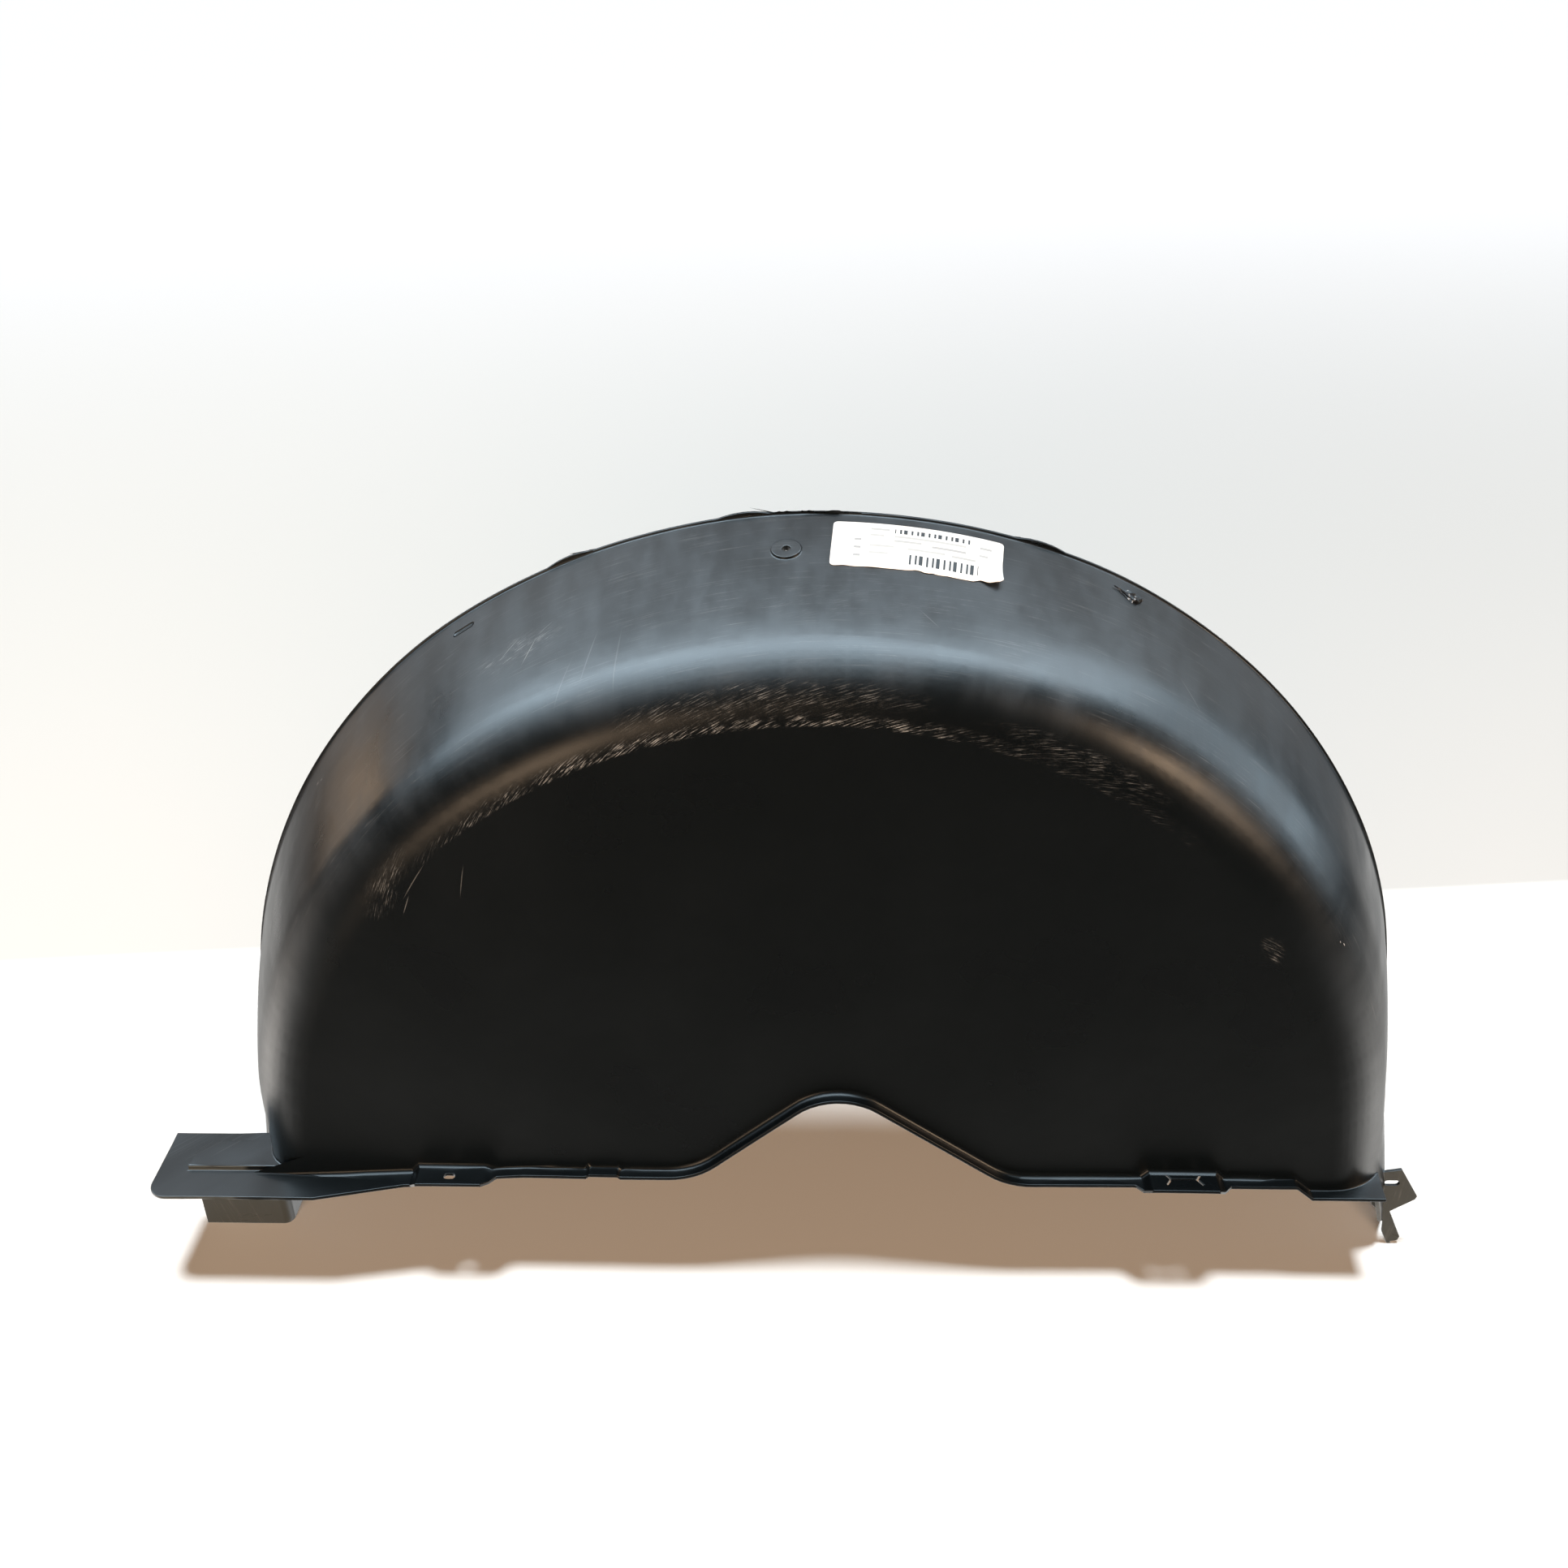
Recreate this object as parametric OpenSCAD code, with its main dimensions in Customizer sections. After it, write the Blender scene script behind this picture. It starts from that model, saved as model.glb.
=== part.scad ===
// Wheel arch liner: one black moulding that covers the inside of a van's wheel arch.
// A flat side wall rolls over a wide round shoulder into a flared crown that follows the tyre.
// The lower edge turns into a narrow lip with a wave over the axle, a clip pad on each side of
// it, a tongue with a foot at the left end and a stepped web with a bracket at the right end.
// The shapes are drawn with the arch centre at x = 0 and z = 0 and the side wall at y = 0, and
// moved at the end so that the origin is under the middle of the part, at the floor.

// Sub-part to show: all, liner, paper_label or clip_stub

/* [Arch] */
// Radius of the flat side wall, up to where the shoulder starts
wall_r = 356; // [320:1:380]
// Radius of the shoulder between side wall and crown
shoulder_r = 46; // [30:1:60]
// Angle at which the crown opens towards the far rim
crown_flare = 18; // [12:0.5:20]
// Depth from the side wall to the far rim
depth = 146; // [130:1:180]
// Thickness of the moulding
skin = 2.6; // [2:0.1:3.4]
// Angle at which both legs spread below the arch
leg_lean = 8; // [5:0.5:10]
// Height of the lower edge above the floor
floor_drop = 95; // [85:1:115]
// Width of the lip round the far rim
rim_w = 3; // [2.8:0.1:5]

/* [Lower edge] */
// Depth of the lip in front of the side wall
lip_d = 8; // [5:0.5:12]
// Depth of the lip where it joins the tongue
lip_left_d = 23; // [19:0.5:26]
// Level of the left end of the lower edge
left_z = -5; // [-7:0.5:-3]
// Level of the lower edge beside the wave, on the left
mid_z = 3.5; // [1:0.5:4]
// Level of the lower edge beside the wave, on the right
right_z = -1; // [-2:0.5:1]
// Level of the web at the right end
web_z = -11.5; // [-14:0.5:-8]

/* [Wave over the axle] */
// Sideways position of the top of the wave
wave_x = 16; // [0:1:30]
// Height of the top of the wave
wave_z = 74; // [60:1:90]
// Slope of the wave's left side
wave_left = 40; // [38:1:44]
// Slope of the wave's right side
wave_right = 36; // [34:1:42]
// Radius at the top of the wave
crest_r = 46; // [30:1:50]
// Radius at both feet of the wave
foot_r = 50; // [30:1:55]

/* [Clip pads] */
// Position of the left pad
left_pad_x = -257; // [-262:1:-252]
// Position of the right pad
right_pad_x = 255; // [250:1:275]
// Length of the flat top of a pad
pad_l = 46; // [40:1:50]
// Height of a pad's top
pad_z = 4; // [3.8:0.1:6]
// Reach of a pad in front of the side wall
pad_d = 18; // [17:0.5:22]
// Length of the oval hole in the left pad
oval_l = 8; // [6:0.5:12]
// Width of the oval hole in the left pad
oval_w = 5; // [3:0.5:6]
// Width of the cuts in the right pad
cut_w = 1.3; // [0.8:0.1:2]
// Position of the small raised step
step_x = -149; // [-155:1:-146]
// Length of the small raised step
step_l = 20; // [12:1:24]
// Height of the small raised step
step_h = 1.8; // [1:0.1:3]

/* [Tongue and foot] */
// Reach of the tongue past the radius of the side wall
tongue_x = 115.5; // [109:0.5:129]
// Near edge of the tongue in front of the side wall
tongue_near = 23; // [19:0.5:28]
// Far edge of the tongue behind the side wall
tongue_far = 41; // [38:0.5:46]
// Radius of the tongue's near corner
tongue_r = 14; // [8:0.5:18]
// Height of the tongue's raised panel
panel_h = 4; // [2:0.5:6]
// Width of the foot
foot_w = 66; // [50:1:70]
// Depth of the foot
foot_d = 26; // [20:1:34]
// Angle at which the foot's top falls away behind the tongue
foot_fall = 50; // [45:1:60]
// Radius of the foot's corners
foot_corner = 7; // [4:0.5:10]

/* [Right bracket] */
// Distance of the bracket plate behind the side wall
bracket_y = 30; // [28:0.5:36]
// Reach of the upper tab past the radius of the side wall
tab_x = 82; // [80:0.5:90]
// Height of the upper tab above the floor
tab_z = 74; // [70:1:78]
// Length of the slot in the upper tab
slot_l = 11; // [8:0.5:12]
// Width of the slot in the upper tab
slot_w = 5; // [3:0.5:6]

/* [Crown fixings] */
// Angle between neighbouring fixings on the crown
fixing_step = 30.5; // [28:0.5:33]
// Distance of the boss from the far rim
boss_rim = 39; // [34:1:50]
// Distance of the outer fixings from the far rim
outer_rim = 18; // [16:1:24]
// Diameter of the boss in the middle
boss_d = 19; // [15:0.5:24]
// Height of the boss above the crown
boss_h = 1.6; // [1:0.1:2.5]
// Diameter of the fixing holes
hole_d = 5; // [3:0.1:6]
// Height of the small tabs on the far rim
rim_tab_h = 2; // [1:0.5:6]
// Width of the small tabs on the far rim
rim_tab_w = 32; // [20:1:40]

/* [Paper label] */
// Length of the label along the arch
label_l = 110; // [80:1:120]
// Width of the label
label_w = 46; // [30:1:50]
// Distance of the label from the far rim
label_rim = 11; // [8:1:20]
// Thickness of the label
label_t = 0.3; // [0.2:0.05:0.5]
// Thickness of the glue under the label
glue_t = 0.2; // [0.1:0.05:0.3]

/* [Clip stub] */
// Diameter of the broken clip's head
clip_d = 13; // [11:0.5:16]
// Height of the broken clip's head
clip_h = 2.4; // [1.5:0.1:4]

/* [Hidden] */
$fn = 180;
black = [0.03, 0.032, 0.035];
paper = [0.9, 0.9, 0.88];
// Overlap that a cutting shape needs past the faces it opens
past = 5;
// Half size of the shapes that cut away a whole region
far = 600;

// Where the round shoulder runs into the straight crown, in the arch's section
turn_r = wall_r + shoulder_r * cos(crown_flare);
turn_y = shoulder_r * (1 - sin(crown_flare));
function crown_r(y) = turn_r + (y - turn_y) * tan(crown_flare);
far_r = crown_r(depth);
// Where a line of the section at radius r has got to on a leg, at height z
function leg_x(r, z) = r / cos(leg_lean) - z * tan(leg_lean);
tongue_end = wall_r + tongue_x;
tab_end = wall_r + tab_x;

// Row frame: middle of the box in x and y, floor in z
shift = [(tongue_end - leg_x(far_r + rim_w, -floor_drop)) / 2, (tongue_near - depth) / 2, floor_drop];

// Feet of the wave
wave_s = crest_r + foot_r;
function flank(h, a) = (h - wave_s * (1 - cos(a))) / sin(a);
function foot_x(h, a) = wave_s * sin(a) + flank(h, a) * cos(a);
left_foot_x = wave_x - foot_x(wave_z - mid_z, wave_left);
right_foot_x = wave_x + foot_x(wave_z - right_z, wave_right);
crest_z = wave_z - crest_r;

// Where the lower edge changes level
left_end_x = 4 - wall_r;
left_top_x = -205;
web_x = wall_r - 10;
web_end_x = wall_r + 41;
web_run = 12;
pad_end = 5;
// How far a round of the wave reaches past its flank, so that arc and line cross cleanly
bite = 0.02;

function pad_points(x, from_z, to_z, low) = [
    [x - pad_l / 2 - pad_end, from_z - low],
    [x - pad_l / 2, pad_z - low],
    [x + pad_l / 2, pad_z - low],
    [x + pad_l / 2 + pad_end, to_z - low]
];

// Everything under the lower edge, with the edge moved down by low
module under_edge(low) {
    left_foot = [left_foot_x, foot_r + mid_z];
    right_foot = [right_foot_x, foot_r + right_z];
    difference() {
        union() {
            polygon(concat(
                [[-far, -far], [-far, left_z - low], [left_end_x, left_z - low]],
                pad_points(left_pad_x, left_z / 3, mid_z / 2, low),
                [
                    [left_top_x, mid_z - low],
                    [step_x - step_l / 2 - step_h, mid_z - low],
                    [step_x - step_l / 2, mid_z + step_h - low],
                    [step_x + step_l / 2, mid_z + step_h - low],
                    [step_x + step_l / 2 + step_h, mid_z - low],
                    [left_foot_x, mid_z - low],
                    left_foot + (foot_r + low) * [sin(wave_left), -cos(wave_left)],
                    [wave_x, crest_z] + (crest_r - low) * [-sin(wave_left), cos(wave_left)],
                    [wave_x, crest_z] + (crest_r - low) * [sin(wave_right), cos(wave_right)],
                    right_foot + (foot_r + low) * [-sin(wave_right), -cos(wave_right)],
                    [right_foot_x, right_z - low]
                ],
                pad_points(right_pad_x, right_z, right_z, low),
                [
                    [web_x - web_run, right_z - low],
                    [web_x, web_z - low],
                    [far, web_z - low],
                    [far, -far]
                ]
            ));
            translate([wave_x, crest_z]) circle(crest_r - low + bite);
        }
        translate(left_foot) circle(foot_r + low + bite);
        translate(right_foot) circle(foot_r + low + bite);
    }
}

// Outline of the lip seen from above, from halfway through the side wall out to the pads' reach
module lip_outline() {
    pad_c = pad_end;
    half = pad_l / 2;
    polygon(concat(
        [[left_end_x - past, skin / 2], [left_end_x - past, -lip_left_d], [left_end_x, -lip_left_d]],
        [
            [left_pad_x - half - pad_c - pad_c, -pad_d + pad_c],
            [left_pad_x - half - pad_c, -pad_d + pad_c],
            [left_pad_x - half, -pad_d],
            [left_pad_x + half, -pad_d],
            [left_pad_x + half + pad_c, -pad_d + pad_c],
            [left_pad_x + half + 2 * pad_c, -lip_d]
        ],
        [
            [right_pad_x - half - 2 * pad_c, -lip_d],
            [right_pad_x - half - pad_c, -pad_d + pad_c],
            [right_pad_x - half, -pad_d],
            [right_pad_x + half, -pad_d],
            [right_pad_x + half + pad_c, -pad_d + pad_c],
            [right_pad_x + half + 2 * pad_c, -lip_d]
        ],
        [[web_end_x, -lip_d], [web_end_x, skin / 2]]
    ));
}

// Arch section, radius across and depth up, filled from the arch's axis out to the skin
module filled_section(inset) {
    r = shoulder_r - inset;
    end_y = inset > 0 ? depth + past : depth;
    end_r = crown_r(end_y) - inset / cos(crown_flare);
    polygon([
        [0, inset],
        [wall_r, inset],
        [wall_r, shoulder_r],
        [wall_r + r * cos(crown_flare), shoulder_r - r * sin(crown_flare)],
        [end_r, end_y],
        [0, end_y]
    ]);
    intersection() {
        translate([wall_r, shoulder_r]) circle(r);
        translate([wall_r, 0]) square(shoulder_r);
    }
}

module shell_section() {
    difference() {
        filled_section(0);
        filled_section(skin);
    }
    translate([far_r - skin, depth - skin]) square([skin + rim_w, skin]);
}

// Turns what lies in the section's frame to an angle on the arch, measured from the top
module on_arch(angle) {
    rotate([0, angle, 0]) children();
}

// Half of the arch, turned from the top of its leg to somewhat past the middle
module half_arch() {
    rotate([-90, 0, 0]) rotate([0, 0, leg_lean - 180]) rotate_extrude(angle = 100) children();
}

module leg() {
    leg_l = far_r * sin(leg_lean) + floor_drop / cos(leg_lean) + far_r * tan(leg_lean);
    rotate([0, -leg_lean, 0]) translate([0, 0, -leg_l]) linear_extrude(leg_l) children();
}

module arch_and_legs() {
    for (side = [0, 1]) mirror([side, 0, 0]) {
        half_arch() children();
        leg() children();
    }
}

// Outline drawn with x across and z up, made y_end - y_start deep
module across(y_start, y_end) {
    translate([0, y_end, 0]) rotate([90, 0, 0]) linear_extrude(y_end - y_start) children();
}

// Outline drawn with y across and z up, made x_end - x_start long
module along(x_start, x_end) {
    translate([x_start, 0, 0]) rotate([90, 0, 90]) linear_extrude(x_end - x_start) children();
}

// What the legs leave free in front: under the tongue, and under the web with a slanted edge
module leg_fronts() {
    low = skin / 2;
    along(-far, left_end_x + past) polygon([
        [-far, left_z - low],
        [tongue_far, left_z - low],
        [tongue_far, -far],
        [-far, -far]
    ]);
    along(web_x, far) polygon([
        [-far, web_z - low],
        [bracket_y / 2, web_z - low],
        [bracket_y - skin, -0.72 * floor_drop],
        [bracket_y + 14, -0.84 * floor_drop],
        [2 * bracket_y, -floor_drop],
        [2 * bracket_y, -far],
        [-far, -far]
    ]);
}

module shell() {
    difference() {
        arch_and_legs() shell_section();
        intersection() {
            across(-past, skin + past) under_edge(skin / 2);
            translate([left_end_x, -far, -far]) cube([web_x - left_end_x, 2 * far, 2 * far]);
        }
        leg_fronts();
        translate([-far, -far, -floor_drop - far]) cube([2 * far, 2 * far, far]);
    }
}

module lip() {
    intersection() {
        across(-lip_left_d - past, skin) difference() {
            under_edge(0);
            under_edge(skin);
        }
        translate([0, 0, -far / 2]) linear_extrude(far) lip_outline();
    }
}

// Web that fills the corner between the lip's right end and the shoulder, and ends in its skin
module web() {
    corner = [leg_x(wall_r, web_z - skin / 2), shoulder_r];
    translate([0, 0, web_z - skin]) linear_extrude(skin) difference() {
        polygon([
            [web_x, -lip_d],
            [web_end_x, -lip_d + 2],
            [web_end_x + 2, shoulder_r / 2],
            [web_x, shoulder_r / 2]
        ]);
        translate(corner) circle(shoulder_r - skin / 2);
    }
}

// Tongue seen from above
module tongue_outline() {
    near = -tongue_near;
    polygon([
        [-tongue_end, tongue_far],
        [-tongue_end, near + tongue_r],
        [-tongue_end + tongue_r, near + tongue_r],
        [-tongue_end + tongue_r, near],
        [left_end_x, -lip_left_d],
        [left_end_x, skin / 2],
        [left_end_x - 24, tongue_far]
    ]);
    intersection() {
        translate([-tongue_end + tongue_r, near + tongue_r]) circle(tongue_r);
        translate([-tongue_end, near]) square(tongue_r);
    }
}

// Raised panel on the tongue seen from above, with its edge moved in
module panel_outline(inset) {
    left = -tongue_end + 22 + inset;
    polygon([
        [left + 10, tongue_far - 12 - inset],
        [left + 3, tongue_far - 20 - inset],
        [left, 3 + inset],
        [left_end_x - 12, 3 + inset],
        [left_end_x - 12, tongue_far - 12 - inset]
    ]);
}

// Foot seen from above
module foot_outline(inset) {
    r = foot_corner - inset;
    x0 = -tongue_end + 6 + inset;
    x1 = -tongue_end + 6 + foot_w - inset;
    y0 = tongue_far - skin + inset;
    difference() {
        translate([x0, y0]) square([x1 - x0, foot_d - 2 * inset]);
        translate([x1 - r, y0]) square(r);
    }
    intersection() {
        translate([x1 - r, y0 + r]) circle(r);
        translate([x1 - r, y0]) square(r);
    }
}

// Foot seen from the side: open below, and its top falls away where the tongue hides it
module foot_side(inset) {
    top = left_z - skin / 2 - inset;
    polygon([
        [0, -floor_drop - (inset > 0 ? past : 0)],
        [0, top],
        [tongue_far, top],
        [2 * tongue_far, top - tongue_far * tan(foot_fall)],
        [2 * tongue_far, -floor_drop - (inset > 0 ? past : 0)]
    ]);
}

module foot_body(inset) {
    intersection() {
        translate([0, 0, -floor_drop - past]) linear_extrude(floor_drop + past)
            foot_outline(inset);
        along(-tongue_end, left_end_x) foot_side(inset);
    }
}

module tongue() {
    hollow = [leg_x(wall_r, left_z - skin / 2), shoulder_r];
    difference() {
        union() {
            translate([0, 0, left_z - skin]) linear_extrude(skin) tongue_outline();
            translate([0, 0, left_z - skin]) linear_extrude(skin + panel_h) panel_outline(0);
        }
        translate([0, 0, left_z - skin - past]) linear_extrude(past + panel_h) panel_outline(skin);
        translate([-hollow.x, hollow.y, left_z - far / 2])
            cylinder(r = shoulder_r - skin / 2, h = far);
    }
}

module foot() {
    difference() {
        foot_body(0);
        foot_body(skin);
    }
}

// Bracket plate seen from the front, rooted in the leg's skin
module bracket_outline() {
    low = -floor_drop;
    top = low + tab_z;
    function root(z) = leg_x(turn_r, z) - 2 * skin;
    polygon([
        [root(top - 34), top - 34],
        [root(top - 3), top - 3],
        [tab_end - 16, top],
        [tab_end, top - 26],
        [tab_end - 1, top - 29],
        [tab_end - 17, top - 41],
        [tab_end - 5, low + 7],
        [tab_end - 6, low + 3],
        [tab_end - 11, low + 2],
        [tab_end - 10.5, low],
        [tab_end - 13.5, low]
    ]);
}

module oval(l, w) {
    square([l - w, w], center = true);
    for (side = [-1, 1]) translate([side * (l - w) / 2, 0]) circle(w / 2);
}

module bracket() {
    across(bracket_y, bracket_y + skin) difference() {
        bracket_outline();
        translate([tab_end - 21, -floor_drop + tab_z - 13]) oval(slot_l, slot_w);
    }
}

// Puts what is drawn flat at the origin on the crown, at an angle from the top and a depth
module on_crown(angle, y) {
    on_arch(angle) translate([0, y, crown_r(y)]) rotate([crown_flare, 0, 0]) children();
}

boss_angle = -2.5;
boss_y = depth - boss_rim;
slot_angle = boss_angle - fixing_step;
clip_angle = boss_angle + fixing_step;
outer_y = depth - outer_rim;

// Low tabs on the far rim, each a flat arc
module rim_tabs() {
    rim_r = far_r + rim_w;
    bow_r = (rim_tab_w * rim_tab_w / 4 + rim_tab_h * rim_tab_h) / (2 * rim_tab_h);
    for (angle = [-21.8, -6.2, 19.4]) on_arch(angle) intersection() {
        translate([0, depth, rim_r + rim_tab_h - bow_r]) rotate([90, 0, 0])
            cylinder(r = bow_r, h = skin);
        translate([-rim_tab_w, depth - skin - past, far_r - skin / 2])
            cube([2 * rim_tab_w, skin + 2 * past, skin + rim_w + rim_tab_h]);
    }
}

// Cuts in the right pad: a straight cut with a fork at each end
module pad_cuts() {
    fork = 6;
    translate([right_pad_x, -pad_d / 2 + 2]) {
        square([18, cut_w], center = true);
        for (side = [-1, 1], up = [-1, 1]) translate([side * 9, 0])
            rotate(side > 0 ? up * 56 : 180 + up * 56) translate([0, -cut_w / 2])
            square([fork, cut_w]);
    }
}

module liner() {
    color(black) difference() {
        union() {
            shell();
            lip();
            web();
            tongue();
            foot();
            bracket();
            rim_tabs();
            on_crown(boss_angle, boss_y) translate([0, 0, -skin / 2])
                cylinder(d = boss_d, h = skin / 2 + boss_h);
        }
        on_crown(boss_angle, boss_y) translate([0, 0, -past]) cylinder(d = hole_d, h = 2 * past);
        on_crown(clip_angle, outer_y) translate([0, 0, -past]) cylinder(d = hole_d, h = 2 * past);
        on_crown(slot_angle, outer_y) translate([0, 0, -skin / 3])
            linear_extrude(past) oval(3.5 * hole_d, hole_d);
        translate([left_pad_x, -pad_d / 2 - 1, pad_z - skin - past])
            linear_extrude(skin + 2 * past) oval(oval_l, oval_w);
        translate([0, 0, pad_z - skin - past]) linear_extrude(skin + 2 * past) pad_cuts();
    }
}

// Sheet glued to the crown
module paper_label() {
    far_side = depth - label_rim;
    near = far_side - label_w * cos(crown_flare);
    turn = label_l / crown_r((near + far_side) / 2) * 180 / PI;
    color(paper) on_arch(1.3) rotate([-90, 0, 0]) rotate([0, 0, -90])
        rotate_extrude(angle = turn) polygon([
            [crown_r(near) + glue_t, near],
            [crown_r(far_side) + glue_t, far_side],
            [crown_r(far_side) + glue_t + label_t, far_side],
            [crown_r(near) + glue_t + label_t, near]
        ]);
}

// Broken head of a push clip, still in its hole
module clip_stub() {
    color(black) on_crown(clip_angle, outer_y) difference() {
        union() {
            translate([0, 0, 0.2]) cylinder(d = clip_d, h = clip_h);
            translate([0, 0, -skin - 2]) cylinder(d = hole_d - 0.4, h = skin + 2.5);
        }
        translate([0, 0, clip_h * 0.6]) rotate([12, 0, 35]) translate([-far, 1, 0])
            cube([2 * far, far, far]);
    }
}

translate(shift) {
    liner();
    paper_label();
    clip_stub();
}
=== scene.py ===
"""Wheel arch liner of a van: one thin black moulding, with its paper label and the rest of a push clip.

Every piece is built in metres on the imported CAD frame, from the same arch: an axis along the depth, a flat
side wall, a rolled shoulder and a flared crown.
"""
import math

import bmesh
import bpy
import numpy as np
from mathutils import Matrix, Vector


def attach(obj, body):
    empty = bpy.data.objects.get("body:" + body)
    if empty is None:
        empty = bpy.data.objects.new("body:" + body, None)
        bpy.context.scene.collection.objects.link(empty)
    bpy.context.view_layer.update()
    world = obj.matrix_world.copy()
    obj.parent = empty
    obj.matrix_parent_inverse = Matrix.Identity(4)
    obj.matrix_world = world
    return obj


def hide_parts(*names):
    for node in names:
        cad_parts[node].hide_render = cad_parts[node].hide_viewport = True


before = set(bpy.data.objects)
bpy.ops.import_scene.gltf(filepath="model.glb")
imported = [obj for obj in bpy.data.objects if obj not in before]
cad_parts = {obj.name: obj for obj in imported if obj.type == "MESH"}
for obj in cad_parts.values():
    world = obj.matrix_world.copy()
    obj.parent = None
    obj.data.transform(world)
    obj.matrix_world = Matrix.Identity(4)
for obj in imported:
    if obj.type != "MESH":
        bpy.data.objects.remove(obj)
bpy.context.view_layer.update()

bl_info = {
    "name": "Wheel arch liner",
    "version": (1, 0, 0),
    "blender": (4, 5, 0),
    "location": "3D View > Sidebar > Arch liner",
    "description": "Dresses the wheel arch liner's CAD frame for a studio picture",
    "category": "Object",
}

MM = 0.001

# The arch in the row frame: its centre on the wall's face, and the measures of its section, in millimetres
ARCH = Vector((6.983, -61.5, 95.0))
WALL_R = 356.0
SHOULDER_R = 46.0
SKIN = 2.6
DEPTH = 146.0
RIM_W = 3.0
FLARE = math.radians(18)
LEAN = math.radians(8)
TURN = math.pi / 2 - FLARE
TURN_LENGTH = TURN * SHOULDER_R
TURN_R = WALL_R + SHOULDER_R * math.cos(FLARE)
TURN_Y = SHOULDER_R * (1 - math.sin(FLARE))

# How wide the rim is seen to stand off the crown, and the height of the tongue's panel over the arch's centre
RIM_SEEN = 0.9
PANEL_TOP = -1.0

# The real skin rolls on softly past the drawn shoulder and then bends a little over the whole crown. These
# are places along the section from the wall's edge in millimetres, and how many degrees the skin there turns
# past the drawn section: over most of the arch, and on its right, where the shoulder is fuller
ROLL_PLACES = (40, 46, 51, 58, 71, 80, 90, 106, 126, 146, 178)
ROLL_TURNS = (0, 0, 0, -3.0, -0.8, 0.2, 0.8, 1.2, 2, 3, 4)
FULL_TURNS = (0, -3, -6, -9, -8, -4.5, -0.5, 1.5, 2.5, 3, 4)
FULL_FROM, FULL_TOP, FULL_DOWN, FULL_END = (math.radians(a) for a in (6, 36, 62, 84))
ROLL_FINE = np.linspace(0, 178, 357)


def rolled(turns):
    """Stand-off from the drawn section at each of the fine places, in millimetres, from the turns."""
    slope = -np.tan(np.radians(np.interp(ROLL_FINE, ROLL_PLACES, turns)))
    return np.cumsum(slope) * (ROLL_FINE[1] - ROLL_FINE[0])


ROLL_OUT, FULL_OUT = rolled(ROLL_TURNS), rolled(FULL_TURNS)

# Low down, the left leg's shoulder draws in and the right leg sets out, in millimetres
LEFT_DRAW, RIGHT_SET = 10.0, 4.0

# Path of the fold between side wall and lip, across and up from the arch's centre, in millimetres
WAVE_X, WAVE_TOP, CREST_R, FOOT_R = 16.0, 74.0, 46.0, 50.0
LEFT_FLANK, RIGHT_FLANK = math.radians(40), math.radians(36)
LEFT_FOOT = (-102.96, 53.5)
RIGHT_FOOT = (150.43, 49.0)

# The label on the crown: its ends as angles from the top, its sides as depths in millimetres, and how much of
# its length a round corner takes. The clip's rest has an angle and a depth too
LABEL_START, LABEL_END = math.radians(1.3), math.radians(15.9)
LABEL_NEAR, LABEL_FAR = 91.3, 135.0
LABEL_CORNER = 0.028
CLIP_ANGLE, CLIP_Y = math.radians(28), 128.0

# How far the paper's face and the clip's foot lie off the crown, in millimetres
LABEL_LIFT, CLIP_LIFT = 0.45, 0.4

# Rubbed places and single scratches on the unrolled skin, listed one by one: how pale each is, its arc length
# from the top, its way from the axis over the shoulder, its half length and half width, and its turn in
# degrees.
# A real scratch is finer: it is drawn nearly a millimetre wide so that it shows
RUBBED_PLACES = (
    (0.30, -30, 378, 110, 17, 0), (0.25, 160, 372, 70, 10, 0), (0.55, -166, 490, 34, 22, 0),
    (0.25, -300, 365, 36, 14, 20), (0.10, 20, 470, 90, 30, 0), (0.35, 348, 350, 14, 8, 0))
SCRATCHES = (
    (0.22, -172, 497, 12, 0.5, 52), (0.26, -160, 482, 16, 0.5, 70), (0.16, -150, 502, 9, 0.4, 44),
    (0.08, -124, 448, 34, 0.6, 78), (0.07, -108, 436, 40, 0.6, 84), (0.07, -140, 430, 30, 0.5, 74),
    (0.14, -303, 345, 9, 0.4, 20), (0.11, -285, 352, 18, 0.45, 12), (0.09, -262, 331, 15, 0.4, 35),
    (0.65, -338, 544, 1.6, 0.8, 20), (0.60, -333, 541, 1.2, 0.7, 0), (0.60, 378, 404, 1.5, 0.8, 0),
    (0.50, 374, 401, 1.1, 0.7, 0), (0.10, 212, 480, 18, 0.45, -60), (0.10, 60, 458, 12, 0.45, -58))

# Grey rules on the label: start, end and height as shares of the sheet, and how dark
LABEL_RULES = (
    (0.13, 0.17, 0.22, 0.60), (0.13, 0.17, 0.40, 0.60), (0.13, 0.17, 0.58, 0.60), (0.22, 0.33, 0.84, 0.50),
    (0.22, 0.30, 0.70, 0.45), (0.36, 0.78, 0.70, 0.45), (0.36, 0.52, 0.60, 0.50), (0.58, 0.78, 0.56, 0.55),
    (0.44, 0.66, 0.44, 0.45), (0.70, 0.84, 0.42, 0.50), (0.22, 0.36, 0.46, 0.45), (0.22, 0.33, 0.30, 0.45),
    (0.86, 0.93, 0.74, 0.55), (0.86, 0.91, 0.56, 0.50))
RULE_HEIGHT = 0.05

# Lamps that only the gloss shows, three warm and a pale one: colour, strength, sharpness, and how far round
# from the back and how high each stands, in degrees
LAMPS = (
    ("#ffdcb8", 7.0, 90.0, -155, -1), ("#ffdcb8", 13.0, 80.0, 115, 22), ("#ffdcb8", 4.2, 260.0, -57, 1),
    ("#fff4ea", 1.3, 20.0, -88, -24))

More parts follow.
